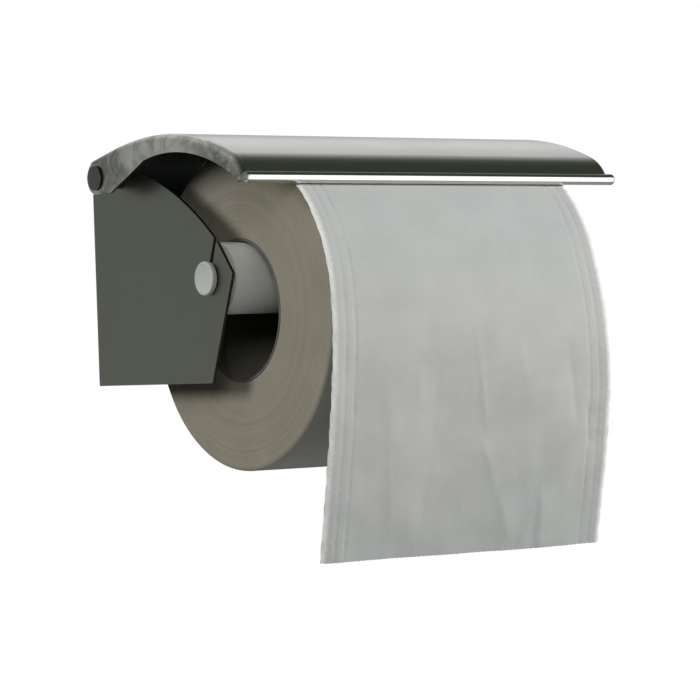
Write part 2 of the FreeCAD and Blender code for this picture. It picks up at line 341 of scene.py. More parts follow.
paperLook = {"rough": 0.92, "specular": 0.15, "fibreScale": 2600.0, "fibreDepth": 0.00003}
sheetLook = {
    "dark": (0.478, 0.485, 0.474), "light": (0.540, 0.548, 0.536), "paintedEdgeLight": (0.80, 0.80, 0.77),
    # how far the painted highlight along the ragged sides reaches in, in metres
    "ragged": (900.0, 3.0), "raggedReach": -0.0012, "paintedEdgeReach": (-0.0004, 0.0016),
    # where along the sheet it is painted greyer as shade, in metres
    "drift": (30.0, 2.0), "driftReach": 0.03, "lidShadeTo": (0.085, 0.125), "footShadeFrom": (0.150, 0.190),
    "clouds": (48.0, 3.0, 0.6, 0.4), "cloudRange": (0.40, 0.62), "cloudTone": 0.5, "cloudFrom": (0.090, 0.115),
    "grey": (0.89, 0.9, 0.9)}
rollLook = {
    "edgeDark": (0.292, 0.270, 0.212), "edgeLight": (0.340, 0.318, 0.258), "endFrom": (0.0485, 0.0492),
    "outerDark": (0.30, 0.305, 0.270), "outerLight": (0.36, 0.365, 0.330), "layerPitch": 0.00042,
    "layerDepth": 0.00006, "layers": (0.9, 2.0, 0.75), "bands": (420.0, 2.0), "patches": (60.0, 3.0),
    # shares of fibres, patches, bands and layers
    "shares": (0.25, 0.3, 0.2, 0.25), "toneRange": (0.3, 0.7)}
coreLook = {"dark": (0.115, 0.112, 0.098), "light": (0.180, 0.172, 0.150), "seam": (0.09, 0.085, 0.07),
            "fibreScale": 1500.0, "seamTurns": 19.0, "seamWidth": 0.03, "seamTone": 0.6, "seamDepth": 0.00008}


def coatPaper(shader, colour, normal):
    shader.inputs["Specular IOR Level"].default_value = paperLook["specular"]
    coat(shader, colour, paperLook["rough"], normal)


def aroundRoll(coordinates):
    # distance from the roll's axis, turns round it and place along it
    y, z = places["roll"]
    centred = put("ShaderNodeMapping", {"Vector": coordinates, "Location": (0, -y * mm, -z * mm)}).outputs[0]
    parts = split(centred)
    radius = vectorMaths("LENGTH", vectorMaths("MULTIPLY", centred, (0, 1, 1)))
    turns = maths("DIVIDE", maths("ARCTAN2", parts[1], parts[2]), 2 * math.pi)
    return radius, turns, parts[0]


def sheetMaterial(look, width):
    material, shader = startMaterial("sheetTissue")[:2]
    flat = attribute(material.node_tree, "flatPlace", "Vector")
    fibre = fibresOn(flat, paperLook["fibreScale"])
    colour = blendColours(fibre["Tone"], look["dark"], look["light"])
    # painted shade: greyer under the lid and towards its foot; also greyer in random clouds where it hangs free
    across, along = split(flat)[:2]
    drift = scaled(noise(*look["drift"], vector=flat), look["driftReach"], along)
    grey = maths("ADD", fall(drift, *look["lidShadeTo"]), ramp(drift, *look["footShadeFrom"]))
    clouds = noise(*look["clouds"], vector=flat)
    clouds = ramp(clouds, *look["cloudRange"], 0.0, look["cloudTone"])
    grey = scaled(clouds, ramp(along, *look["cloudFrom"]), grey)
    colour = blendColours(grey, colour, vectorMaths("MULTIPLY", colour, look["grey"]))
    # painted highlight: the ragged side edges are painted paler, as light catching them
    fromSide = maths("MINIMUM", across, maths("SUBTRACT", width * mm, across))
    ragged = scaled(noise(*look["ragged"], vector=flat), look["raggedReach"], fromSide)
    colour = blendColours(fall(ragged, *look["paintedEdgeReach"]), colour, look["paintedEdgeLight"])
    coatPaper(shader, colour, bump(fibre["Height"], paperLook["fibreDepth"]))
    return material


def rollMaterial(look):
    # wound edges on the two ends, plain tissue round the outside, painted darker than the loose sheet's tissue as
    # painted shade
    material, shader, coordinates = startMaterial("rollTissue")
    radius, turns, along = aroundRoll(coordinates)
    fibre = fibresOn(coordinates, paperLook["fibreScale"])
    wound = maths("ADD", turns, maths("DIVIDE", radius, look["layerPitch"]))
    layers = noise(*look["layers"], w=wound)
    bands = noise(*look["bands"], w=radius)
    patches = noise(*look["patches"], vector=coordinates)
    tone = 0.0
    for part, share in zip((fibre["Tone"], patches, bands, layers), look["shares"]):
        tone = scaled(part, share, tone)
    edges = blendColours(ramp(tone, *look["toneRange"]), look["edgeDark"], look["edgeLight"])
    outside = blendColours(fibre["Tone"], look["outerDark"], look["outerLight"])
    onEnd = ramp(maths("ABSOLUTE", along), *look["endFrom"])
    layered = bump(times(layers, onEnd), look["layerDepth"])
    coatPaper(shader, blendColours(onEnd, outside, edges),
              bump(fibre["Height"], paperLook["fibreDepth"], layered))
    return material


def coreMaterial(look):
    # card painted dark grey as painted shade inside the bore, with the seam of its spiral winding
    material, shader, coordinates = startMaterial("coreCard")
    turns, along = aroundRoll(coordinates)[1:]
    fibre = fibresOn(coordinates, look["fibreScale"])
    helix = maths("FRACT", scaled(along, look["seamTurns"], turns))
    seam = fall(maths("ABSOLUTE", maths("SUBTRACT", helix, 0.5)), 0.0, look["seamWidth"])
    card = blendColours(fibre["Tone"], look["dark"], look["light"])
    grooved = bump(maths("SUBTRACT", 1.0, seam), look["seamDepth"])
    coatPaper(shader, blendColours(times(seam, look["seamTone"]), card, look["seam"]),
              bump(fibre["Height"], paperLook["fibreDepth"], grooved))
    return material


rollTissue = rollMaterial(rollLook)
coreCard = coreMaterial(coreLook)
print("materials made:", len(bpy.data.materials))


# Mesh helpers

def linkPiece(name, mesh):
    piece = bpy.data.objects.new(name, mesh)
    scene.collection.objects.link(piece)
    return piece


def settle(piece):
    # the modifiers' result becomes the piece's own plain mesh
    graph = bpy.context.evaluated_depsgraph_get()
    made = bpy.data.meshes.new_from_object(piece.evaluated_get(graph), preserve_all_data_layers=True, depsgraph=graph)
    piece.modifiers.clear()
    old = piece.data
    piece.data = made
    bpy.data.meshes.remove(old)
    made.name = piece.name
    return piece


def paintedTree(tree, last, given, result):
    # the end that every Geometry Nodes tree here has
    real = put("GeometryNodeRealizeInstances", {"Geometry": last.outputs[0]})
    painted = put("GeometryNodeSetMaterial", {"Geometry": real.outputs[0], "Material": given["Material"]})
    feed(result["Geometry"], painted.outputs[0])
    return tree


def runTree(piece, tree, values):
    modifier = piece.modifiers.new(tree.name, "NODES")
    modifier.node_group = tree
    for item in tree.interface.items_tree:
        if item.in_out == "INPUT" and item.name in values:
            modifier[item.identifier] = values[item.name]
    return settle(piece)


def closeSeams(mesh):
    form = bmesh.new()
    form.from_mesh(mesh)
    bmesh.ops.remove_doubles(form, verts=form.verts, dist=1e-7)
    bmesh.ops.recalc_face_normals(form, faces=form.faces)
    form.to_mesh(mesh)
    form.free()


def gridMesh(name, rows):
    # one quad sheet through rows of points
    mesh = bpy.data.meshes.new(name)
    wide = len(rows[0])
    faces = []
    for row in range(len(rows) - 1):
        for column in range(wide - 1):
            corner = row * wide + column
            faces.append((corner, corner + 1, corner + wide + 1, corner + wide))
    mesh.from_pydata([point for row in rows for point in row], [], faces)
    return mesh


def mergeInto(piece, others):
    form = bmesh.new()
    form.from_mesh(piece.data)
    for other in others:
        form.from_mesh(other.data)
    form.to_mesh(piece.data)
    form.free()
    for other in others:
        old = other.data
        bpy.data.objects.remove(other)
        bpy.data.meshes.remove(old)
    return piece


def breakEdges(piece, width, angle):
    rounding = piece.modifiers.new("edgeBreak", "BEVEL")
    rounding.width = width * mm
    rounding.segments = 2
    rounding.limit_method = "ANGLE"
    rounding.angle_limit = math.radians(angle)
    piece.modifiers.new("evenShading", "WEIGHTED_NORMAL").keep_sharp = True
    piece.data.shade_smooth()
    return settle(piece)


def shadeRound(mesh, sharpAngle):
    mesh.shade_smooth()
    mesh.set_sharp_from_angle(angle=math.radians(sharpAngle))


def markFaces(mesh, name, isMarked):
    marks = [1.0 if isMarked(face.center / mm, face.normal) else 0.0 for face in mesh.polygons]
    mesh.attributes.new(name, "FLOAT", "FACE").data.foreach_set("value", marks)


def dress(piece, material, body, node):
    piece.data.materials.clear()
    piece.data.materials.append(material)
    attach(piece, body)
    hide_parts(node)
    return piece


# Side-view helpers, in millimetres

def swing(centre, radius, degrees):
    # a point on a circle, with the angle counted from the top towards the front
    angle = math.radians(degrees)
    return np.array((centre[0] - radius * math.sin(angle), centre[1] + radius * math.cos(angle)))


def arcThrough(first, middle, last, count):
    (ax, ay), (bx, by), (cx, cy) = first, middle, last
    scale = 2 * (ax * (by - cy) + bx * (cy - ay) + cx * (ay - by))
    aa, bb, cc = ax * ax + ay * ay, bx * bx + by * by, cx * cx + cy * cy
    centre = np.array(((aa * (by - cy) + bb * (cy - ay) + cc * (ay - by)) / scale,
                       (aa * (cx - bx) + bb * (ax - cx) + cc * (bx - ax)) / scale))
    start, via, stop = (math.atan2(*(np.array(point) - centre)[::-1]) for point in (first, middle, last))
    via, stop = (start + (angle - start) % (2 * math.pi) for angle in (via, stop))
    if via > stop:
        stop -= 2 * math.pi
    radius = np.linalg.norm(np.array(first) - centre)
    return [centre + radius * np.array((math.cos(turn), math.sin(turn))) for turn in np.linspace(start, stop, count)]


def smooth(share):
    share = min(max(share, 0.0), 1.0)
    return share * share * (3 - 2 * share)


def runAlong(path):
    return np.concatenate(([0], np.cumsum(np.linalg.norm(np.diff(path, axis=0), axis=1))))


def pointsAt(path, runs):
    own = runAlong(path)
    return np.stack([np.interp(runs, own, path[:, axis]) for axis in (0, 1)], 1)


# Geometry Nodes tree for all that is turned or wound round an axis along x

turnedPlan = {"hubRadius": 1.0, "sharpAngle": 32.0, "swayNoise": (55.0, 1.0), "noiseMiddle": 0.5}


def turnedTree(plan):
    tree, given, result = newGroup("turnedOnAxis", "GeometryNodeTree", {
        "Profile": "Geometry", "Segments": "Int", "Hub Radius": "Float", "Axis": "Vector", "Ring Height": "Float",
        "Ring Scale": "Float", "Sway": "Float", "Seed": "Float", "Material": "Material"}, {"Geometry": "Geometry"})
    outline = put("GeometryNodeMeshToCurve", {"Mesh": given["Profile"]}).outputs["Curve"]
    hub = put("GeometryNodeCurvePrimitiveCircle", {
        "Resolution": given["Segments"], "Radius": given["Hub Radius"]})
    swept = put("GeometryNodeCurveToMesh", {"Curve": hub.outputs["Curve"], "Profile Curve": outline})
    closed = put("GeometryNodeMergeByDistance", {"Geometry": swept.outputs["Mesh"], "Distance": 1e-7})
    lying = put("GeometryNodeTransform", {"Geometry": closed.outputs[0], "Rotation": (0, math.pi / 2, 0)})
    spot = tree.nodes.new("GeometryNodeInputPosition").outputs[0]
    facing = split(tree.nodes.new("GeometryNodeInputNormal").outputs[0])
    radius = vectorMaths("LENGTH", vectorMaths("MULTIPLY", spot, (0, 1, 1)))
    rings = noise(1.0, w=scaled(radius, given["Ring Scale"], given["Seed"]))
    sway = noise(*plan["swayNoise"], vector=spot, w=given["Seed"])
    steps = [times(maths("SUBTRACT", height, plan["noiseMiddle"]), given[name])
             for height, name in ((rings, "Ring Height"), (sway, "Sway"))]
    step = times(facing[0], maths("ADD", *steps))
    offset = put("ShaderNodeCombineXYZ", {0: step}).outputs[0]
    shifted = put("GeometryNodeSetPosition", {"Geometry": lying.outputs[0], "Offset": offset})
    placed = put("GeometryNodeTransform", {"Geometry": shifted.outputs[0], "Translation": given["Axis"]})
    return paintedTree(tree, placed, given, result)


turnedOnAxis = turnedTree(turnedPlan)


def turnedPiece(name, outline, axis, material, segments=96, closed=True,
                ringHeight=0.0, ringScale=0.0, sway=0.0, seed=0.0):
    # outline holds (x, radius) points in millimetres, in order round the section
    hub = turnedPlan["hubRadius"]
    mesh = bpy.data.meshes.new(name)
    points = [((radius - hub) * mm, -x * mm, 0.0) for x, radius in outline]
    links = [(index, index + 1) for index in range(len(points) - 1)]
    if closed:
        links.append((len(points) - 1, 0))
    mesh.from_pydata(points, links, [])
    piece = linkPiece(name, mesh)
    runTree(piece, turnedOnAxis, {
        "Segments": segments, "Hub Radius": hub * mm, "Axis": (0.0, axis[0] * mm, axis[1] * mm),
        "Ring Height": ringHeight * mm, "Ring Scale": ringScale / mm, "Sway": sway * mm,
        "Seed": seed, "Material": material})
    closeSeams(piece.data)
    shadeRound(piece.data, turnedPlan["sharpAngle"])
    return piece


def mirrored(outline, way):
    return [(way * x, radius) for x, radius in outline]


def roundedCorner(x, radius, xWay, radiusWay, size, steps=4):
    # a quarter round, from the end face to the outside, whose sharp corner would be at x, radius
    points = []
    for turn in np.linspace(0, math.pi / 2, steps + 1):
        points.append((x - xWay * size * (1 - math.cos(turn)), radius - radiusWay * size * (1 - math.sin(turn))))
    return points


def ringOutline(low, high, inner, outer, rim):
    return (roundedCorner(high, outer, 1, 1, rim) + roundedCorner(low, outer, -1, 1, rim)[::-1]
            + roundedCorner(low, inner, -1, -1, rim) + roundedCorner(high, inner, 1, -1, rim)[::-1])


# Wall bracket: the bent sheet of the frame, with its edges broken

bracketShape = {"edgeBreak": 0.14, "edgeAngle": 40.0, "weld": 1e-6, "flatAngle": 0.3,
                # cut edges: beyond this half width, ahead of this depth, and facing less sideways than this
                "cutHalf": 59.2, "cutAhead": -2.2, "cutFacing": 0.5}


def wallBracket(shape):
    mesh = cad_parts["wall_bracket"].data.copy()
    form = bmesh.new()
    form.from_mesh(mesh)
    bmesh.ops.remove_doubles(form, verts=form.verts, dist=shape["weld"])
    flat = math.radians(shape["flatAngle"])
    bmesh.ops.dissolve_limit(form, angle_limit=flat, verts=form.verts, edges=form.edges)
    form.to_mesh(mesh)
    form.free()
    piece = breakEdges(linkPiece("wallBracket", mesh), shape["edgeBreak"], shape["edgeAngle"])
    markFaces(piece.data, "cutEdge", lambda spot, way: (
        abs(spot.x) > shape["cutHalf"] and spot.y < shape["cutAhead"] and abs(way.x) < shape["cutFacing"]))
    return dress(piece, bracketSteel, "bracket", "wall_bracket")


wallBracket(bracketShape)
print("wall bracket made")


# Lid: a formed hood with turned-down ends, hinge ears and a rolled front edge

lidShape = {
    "crest": (-51.4, 44.6), "rearRadius": 128.0, "rearEdge": -14.4, "frontRadius": 103.0, "frontSlope": 61.0,
    "frontBend": 11.0, "frontEdge": (-98.84, 28.27), "sheet": 0.8,
    # shoulder between top and lip at the rear edge, near it, at the crest, the bend, the flange and the front edge
    "shoulders": (0.7, 1.8, 2.3, 3.2, 2.7, 1.6), "rearRun": 8.0,
    "lipPeak": (-58.2, 38.6), "lipFront": (-90.8, 31.7), "lipNose": (-94.4, 30.0), "frontLip": 1.9,
    "gussetTop": (-45.5, 37.3), "gussetToe": (-25.6, 28.9), "earFoot": (-17.1, 28.9), "earBack": (-12.5, 36.0),
    "gussetLead": 1.2, "earSpread": 10.0, "flare": 0.9, "flareFrom": 18, "flareOver": 40,
    "beadFrom": -97.5, "beadRadius": 1.7, "beadHalf": 68.8, "beadEnd": 0.8, "edgeBreak": 0.1, "edgeAngle": 50.0,
    # steps over the ear, over the gusset, up to the crest, down the front and round the bend
    "arcSteps": (11, 15, 6, 28, 16), "flangePoints": 8, "archPoints": 60, "beadSteps": 6, "beadSegments": 40,
    "topColumns": 24, "shoulderSteps": 9, "lipSteps": 9,
    # inner faces look this much towards the roll, or this much towards the other lip
    "rollFacing": 0.4, "lipFacing": 0.7,
    # cut edges: beyond this half width, facing less sideways and less up than this, behind this depth
    "cutHalf": 67.6, "cutFacing": 0.95, "cutUp": 0.1, "cutBehind": -97.0,
}


def lidSection(shape):
    # outer points and outward directions from the rear edge to the front edge, and where its parts begin
    crest = np.array(shape["crest"])
    rearCentre = crest - np.array((0, shape["rearRadius"]))
    frontCentre = crest - np.array((0, shape["frontRadius"]))
    lead = shape["gussetLead"]
    rear, toe, gusset = (-math.degrees(math.asin((y - crest[0]) / shape["rearRadius"]))
                         for y in (shape["rearEdge"], shape["gussetToe"][0] + lead, shape["gussetTop"][0] + lead))
    facing = swing((0, 0), 1, shape["frontSlope"])
    reach = facing @ (np.array(shape["frontEdge"]) - frontCentre) - shape["frontBend"]
    front = shape["frontSlope"] - math.degrees(math.acos(reach / (shape["frontRadius"] - shape["frontBend"])))
    bendCentre = swing(frontCentre, shape["frontRadius"] - shape["frontBend"], front)
    runs = [(rearCentre, shape["rearRadius"], rear, toe), (rearCentre, shape["rearRadius"], toe, gusset),
            (rearCentre, shape["rearRadius"], gusset, 0), (frontCentre, shape["frontRadius"], 0, front),
            (bendCentre, shape["frontBend"], front, shape["frontSlope"])]
    points, outward, starts = [], [], []
    for (centre, radius, start, stop), count in zip(runs, shape["arcSteps"]):
        starts.append(len(points))
        for angle in np.linspace(start, stop, count + 1)[:-1]:
            points.append(swing(centre, radius, angle))
            outward.append(swing((0, 0), 1, angle))
    starts.append(len(points))
    bendEnd = swing(bendCentre, shape["frontBend"], shape["frontSlope"])
    for share in np.linspace(0, 1, shape["flangePoints"]):
        points.append(bendEnd + (np.array(shape["frontEdge"]) - bendEnd) * share)
        outward.append(facing)
    return np.array(points), np.array(outward), starts


def lipFeet(shape, points, outward, starts):
    # the lips' lower edge, with one place on it for each point of the section
    front = points[-1] - outward[-1] * shape["frontLip"]
    arch = arcThrough(shape["lipFront"], shape["lipPeak"], shape["gussetTop"], shape["archPoints"])[::-1]
    path = np.array([shape["earFoot"], shape["gussetToe"], *arch, shape["lipNose"], front])
    run, sectionRun = runAlong(path), runAlong(points)
    stations = [sectionRun[starts[index]] for index in (0, 1, 2, 4, 5)] + [sectionRun[-1]]
    feet = pointsAt(path, np.interp(sectionRun, stations, [0, run[1], run[2], run[-3], run[-2], run[-1]]))
    shoulderRuns = [0, shape["rearRun"]] + [sectionRun[starts[index]] for index in (3, 4, 5)] + [sectionRun[-1]]
    return feet, sectionRun, np.interp(sectionRun, shoulderRuns, shape["shoulders"])


def lidSkin(shape):
    points, outward, starts = lidSection(shape)
    feet, run, shoulders = lipFeet(shape, points, outward, starts)
    lipShares = np.arange(1, shape["lipSteps"] + 1) / shape["lipSteps"]
    rearTop = points[0] - outward[0] * shoulders[0]
    backArc = arcThrough(rearTop, shape["earBack"], feet[0], shape["lipSteps"] + 1)[1:]
    rows = []
    for index, point in enumerate(points):
        shoulder = shoulders[index]
        half = places["lidHalf"] + shape["flare"] * smooth((run[index] - shape["flareFrom"]) / shape["flareOver"])
        side = []
        for turn in np.linspace(0, math.pi / 2, shape["shoulderSteps"] + 1):
            drop = outward[index] * shoulder * (1 - math.cos(turn))
            side.append((half - shoulder * (1 - math.sin(turn)), point - drop))
        top = side[-1][1]
        bulge = max(1 - run[index] / shape["earSpread"], 0.0) ** 2
        for share, back in zip(lipShares, backArc):
            straight = top + (feet[index] - top) * share
            side.append((half, straight + (back - rearTop - (feet[0] - rearTop) * share) * bulge))
        across = [(x, point) for x in np.linspace(-half + shoulder, half - shoulder, shape["topColumns"] + 1)[1:-1]]
        full = [(-x, spot) for x, spot in side[::-1]] + across + side
        rows.append([(x * mm, spot[0] * mm, spot[1] * mm) for x, spot in full])
    return gridMesh("lid", rows), points[-1] + outward[-1] * (shape["beadRadius"] - shape["sheet"])


def lidBeadOutline(shape):
    half, radius, end = shape["beadHalf"], shape["beadRadius"], shape["beadEnd"]
    right = [(half, 0.0)] + roundedCorner(half, radius, 1, 1, end, shape["beadSteps"])
    return right + mirrored(right[::-1], -1)


def looksInward(spot, way):
    # faces of the hood that look towards the roll or the other lip, but not the bead
    toRoll = Vector((0, places["roll"][0] - spot.y, places["roll"][1] - spot.z)).normalized()
    towardsLip = way.x * spot.x < -lidShape["lipFacing"] * abs(spot.x)
    return spot.y > lidShape["beadFrom"] and (way.dot(toRoll) > lidShape["rollFacing"] or towardsLip)


def makeLid(shape):
    skin, beadAxis = lidSkin(shape)
    piece = linkPiece("lid", skin)
    closeSeams(skin)
    if max(skin.polygons, key=lambda face: face.center.z).normal.z < 0:
        skin.flip_normals()
    wall = piece.modifiers.new("sheetWall", "SOLIDIFY")
    wall.thickness = shape["sheet"] * mm
    wall.offset = -1
    wall.use_even_offset = True
    breakEdges(settle(piece), shape["edgeBreak"], shape["edgeAngle"])
    bead = turnedPiece("lidBead", lidBeadOutline(shape), beadAxis, lidSteel, shape["beadSegments"], closed=False)
    mergeInto(piece, [bead])
    markFaces(piece.data, "innerFace", looksInward)
    markFaces(piece.data, "cutEdge", lambda spot, way: (
        abs(spot.x) > shape["cutHalf"] and abs(way.x) < shape["cutFacing"]
        and way.z < shape["cutUp"] and spot.y > shape["cutBehind"]))
    return dress(piece, lidSteel, "lid", "lid")


makeLid(lidShape)
print("lid made")


# Hinge: a headed pin on each side, with a bush between ear and cheek

pinShape = {"radius": 2.0, "headRadius": 3.8, "headHeight": 1.0, "headRim": 0.3, "dome": 0.12, "domeShare": 0.85,
            "domePoints": 7, "tailRadius": 3.2, "tailHeight": 1.2, "tailRim": 0.35, "gap": 0.3, "bushRadius": 3.3,
            "bushBore": 2.05, "bushLength": 7.1, "bushRim": 0.3, "segments": 64}


def pinOutline(shape):
    tailOuter = places["cheekInner"] - shape["gap"]
    tailInner = tailOuter - shape["tailHeight"]
    seat, face = places["lidHalf"], places["lidHalf"] + shape["headHeight"] - shape["dome"]
    outline = [(tailInner, 0.0)] + roundedCorner(tailInner, shape["tailRadius"], -1, 1, shape["tailRim"])
    outline += [(tailOuter, shape["tailRadius"]), (tailOuter, shape["radius"]),
                (seat, shape["radius"]), (seat, shape["headRadius"])]
    outline += roundedCorner(face, shape["headRadius"], 1, 1, shape["headRim"])[::-1]
    flat = shape["headRadius"] - shape["headRim"]
    return outline + [(face + shape["dome"] * (1 - (size / flat) ** 2), size)
                      for size in np.linspace(flat * shape["domeShare"], 0, shape["domePoints"])]


def hingePins(shape):
    bushLow = places["cheekOuter"] + shape["gap"]
    bush = ringOutline(bushLow, bushLow + shape["bushLength"], shape["bushBore"], shape["bushRadius"], shape["bushRim"])
    for way, name, side in sides:
        pin = turnedPiece("hingePin" + name, mirrored(pinOutline(shape), way), places["hinge"], pinSteel,
                          shape["segments"], closed=False)
        dress(pin, pinSteel, "lid", "hinge_pin_" + side)
        sleeve = turnedPiece("hingeBush" + name, mirrored(bush, way), places["hinge"], bushPlastic, shape["segments"])
        dress(sleeve, bushPlastic, "lid", "hinge_bush_" + side)


hingePins(pinShape)
print("hinge made")


# Roller: a moulded tube that turns on two end plugs

rollerShape = {
    "radius": 10.7, "wall": 1.6, "halfLength": 57.62, "rim": 0.15, "segments": 128, "flange": (57.7, 59.0),
    "spigotEnd": 41.4, "spigotRadius": 9.05, "spigotWall": 1.6, "spigotRim": 0.3, "button": (60.6, 62.2),
    "buttonRadius": 5.05, "buttonRim": 0.4, "buttonBackRim": 0.2, "buttonDish": 0.3,
    # how far in from the button's edge its dish begins, is half deep and is full deep
    "dishInsets": (0.75, 1.0, 1.35),
    "neckThick": 1.7, "neckLong": 5.6, "neckSunk": 0.1, "neckPoints": 11, "neckSharp": 40.0,
    "slotAhead": 4.0, "slotRise": 10.5}


def rollerTube(shape):
    half, radius = shape["halfLength"], shape["radius"]
    outline = ringOutline(-half, half, radius - shape["wall"], radius, shape["rim"])
    piece = turnedPiece("rollerTube", outline, places["spindle"], tubePlastic, shape["segments"])
    return dress(piece, tubePlastic, "roller", "roller_tube")


def plugNeck(shape, way):
    # the flat neck that sits in the cheek's slot
    along = np.array((-shape["slotAhead"], shape["slotRise"]))
    along = along / np.linalg.norm(along)
    across = np.array((-along[1], along[0]))
    radius = shape["neckThick"] / 2
    reach = shape["neckLong"] / 2 - radius
    outline = []
    for end in (1, -1):
        for turn in np.linspace(0, math.pi, shape["neckPoints"]):
            spot = along * (reach + radius * math.sin(turn)) + across * radius * math.cos(turn)
            outline.append(np.array(places["spindle"]) + end * spot)
    form = bmesh.new()
    rims = []
    for x in (shape["flange"][1] - shape["neckSunk"], shape["button"][0] + shape["neckSunk"]):
        rims.append([form.verts.new((way * x * mm, point[0] * mm, point[1] * mm)) for point in outline])
    count = len(outline)
    for index in range(count):
        after = (index + 1) % count
        form.faces.new((rims[0][index], rims[0][after], rims[1][after], rims[1][index]))
    for rim in rims:
        form.faces.new(rim)
    bmesh.ops.recalc_face_normals(form, faces=form.faces)
    mesh = bpy.data.meshes.new("neck")
    form.to_mesh(mesh)
    form.free()
    shadeRound(mesh, shape["neckSharp"])
    return linkPiece("neck", mesh)


def endPlugs(shape):
    inside, outside = shape["flange"]
    low, face = shape["button"]
    radius, rim, dish = shape["buttonRadius"], shape["buttonRim"], shape["buttonDish"]
    flange = ([(inside, 0.0)] + roundedCorner(inside, shape["radius"], -1, 1, shape["rim"])
              + roundedCorner(outside, shape["radius"], 1, 1, shape["rim"])[::-1] + [(outside, 0.0)])
    spigot = ringOutline(shape["spigotEnd"], inside, shape["spigotRadius"] - shape["spigotWall"],
                         shape["spigotRadius"], shape["spigotRim"])
    dished = [(face - depth, radius - inset)
              for depth, inset in zip((0, dish / 2, dish), shape["dishInsets"])] + [(face - dish, 0.0)]
    button = ([(low, 0.0)] + roundedCorner(low, radius, -1, 1, shape["buttonBackRim"])
              + roundedCorner(face, radius, 1, 1, rim)[::-1] + dished)
    for way, name, side in sides:
        parts = [turnedPiece(label, mirrored(outline, way), places["spindle"], plugPlastic, closed=closed)
                 for label, outline, closed in (
                     ("endPlug" + name, flange, False), ("spigot", spigot, True), ("button", button, False))]
        plug = mergeInto(parts[0], parts[1:] + [plugNeck(shape, way)])
        dress(plug, plugPlastic, "bracket", "end_plug_" + side)


rollerTube(rollerShape)
endPlugs(rollerShape)
print("roller and plugs made")


# Paper roll on its core

rollShape = {
    "halfWidth": 50.0, "radius": 47.958, "coreBore": 20.6, "coreWall": 0.8, "coreRim": 0.2, "windingGap": 0.1,
    "coreRecess": 0.25, "endInset": 0.35, "edgeRound": 1.2, "clear": 0.02, "ringHeight": 0.30, "ringScale": 1.15,
    "sway": 0.5, "seed": 3.7, "sharpAngle": 60.0, "endRings": 70, "edgeSteps": 6, "outerRings": (44, 4, 6),
    "segments": 224, "coreSegments": 160}


def paperRoll(shape):
    bore = shape["coreBore"] + shape["coreWall"] + shape["windingGap"]
    face, outer, edge = shape["halfWidth"] - shape["endInset"], shape["radius"] - shape["clear"], shape["edgeRound"]
    half = [(face, radius) for radius in np.linspace(bore, outer - edge, shape["endRings"])[:-1]]
    half += roundedCorner(face, outer, 1, 1, edge, shape["edgeSteps"])
    half += [(x, outer) for x in np.linspace(*shape["outerRings"])]
    roll = turnedPiece("paperRoll", half + mirrored(half[::-1], -1), places["roll"], rollTissue, shape["segments"],
                       ringHeight=shape["ringHeight"], ringScale=shape["ringScale"], sway=shape["sway"],
                       seed=shape["seed"])
    roll.data.set_sharp_from_angle(angle=math.radians(shape["sharpAngle"]))
    dress(roll, rollTissue, "roll", "paper_roll")
    high = shape["halfWidth"] - shape["coreRecess"]
    outline = ringOutline(-high, high, shape["coreBore"], shape["coreBore"] + shape["coreWall"], shape["coreRim"])
    core = turnedPiece("paperCore", outline, places["roll"], coreCard, shape["coreSegments"])
    dress(core, coreCard, "roll", "paper_core")


paperRoll(rollShape)
print("paper roll made")


# Loose sheet: comes over the roll under the lid's bead and hangs with a slight twist

sheetShape = {
    "width": 100.0, "thickness": 0.14, "gap": 0.10, "startAngle": -25.0, "hiddenRun": 54.0, "sharpAngle": 60.0,
    "seed": 2.0,
    # free paths of the two side edges below the roll, from the spindle's axis, and the leads into them in degrees
    "left": {"leaves": 90.0, "path": ((-48.10, -9.6), (-48.35, -18), (-47.3, -29), (-45.4, -42), (-42.9, -56),
                                      (-40.3, -70), (-37.5, -83.8))},
    "right": {"leaves": 76.0, "path": ((-46.70, 1.9), (-49.3, -6.5), (-51.2, -18), (-51.9, -31), (-50.7, -44),
                                       (-47.8, -58.5), (-44.7, -73), (-42.7, -83.9))},
    "leads": (24, 12), "wrappedPoints": 120, "hangingPoints": 240,
    # rows along the sheet and columns across it
    "hiddenRows": 28, "rows": 212, "columns": 121, "columnGap": 0.14, "edgeColumns": (0.2, 0.4, 0.65, 1.2, 1.5),
    "pressedColumns": 9, "pressedReach": 1.2,
    "slackFrom": 94.0, "slackOver": 28.0, "bow": 0.65,
    # curl and fray of the side edges: the steady share, then the pace and start of each wave
    "edgeCurl": 0.55, "curlWidth": 1.5, "curlSteady": 0.6, "curlPaces": ((0.31, 0), (0.83, 1)),
    "fray": 0.12, "frayWidth": 0.5, "fraySteady": 0.5, "frayWave": 0.25, "frayPaces": ((2.3, 0), (5.1, 2)),
    "teeth": 0.16, "toothPitch": 1.9, "toothRun": 0.7,
    "rowInsets": (4.4, 7.8), "rowWidth": 1.1, "rowDepth": 0.17, "dashPitch": 3.6, "knobDepth": 0.03,
    "crinkleHeight": 3.4, "crinkleScale": 0.036,
    # creases: from and to on the flat sheet, height, width to the left and right
    "creases": ((49.3, 98, 54.6, 137, 0.30, 0.9, 1.1), (65, 100, 68.2, 124, 0.22, 2.2, 2.2),
                (83.5, 104, 87.6, 137, -0.55, 2.4, 2.6), (91.3, 127, 93.2, 143, -0.55, 0.8, 5.0),
                (75.6, 151, 76.7, 176, 0.70, 1.5, 6.0), (74.8, 156, 69.2, 172, 0.35, 1.8, 2.4),
                (51, 132, 67, 172, 0.75, 6.5, 6.0), (30.3, 114, 31.7, 129, 0.20, 2.5, 2.5),
                (18, 112, 24, 172, 0.45, 6.0, 8.0), (38, 108, 33, 168, -0.45, 6.0, 7.0)),
    "creaseStart": 0.3, "creaseEnd": 0.25,
}
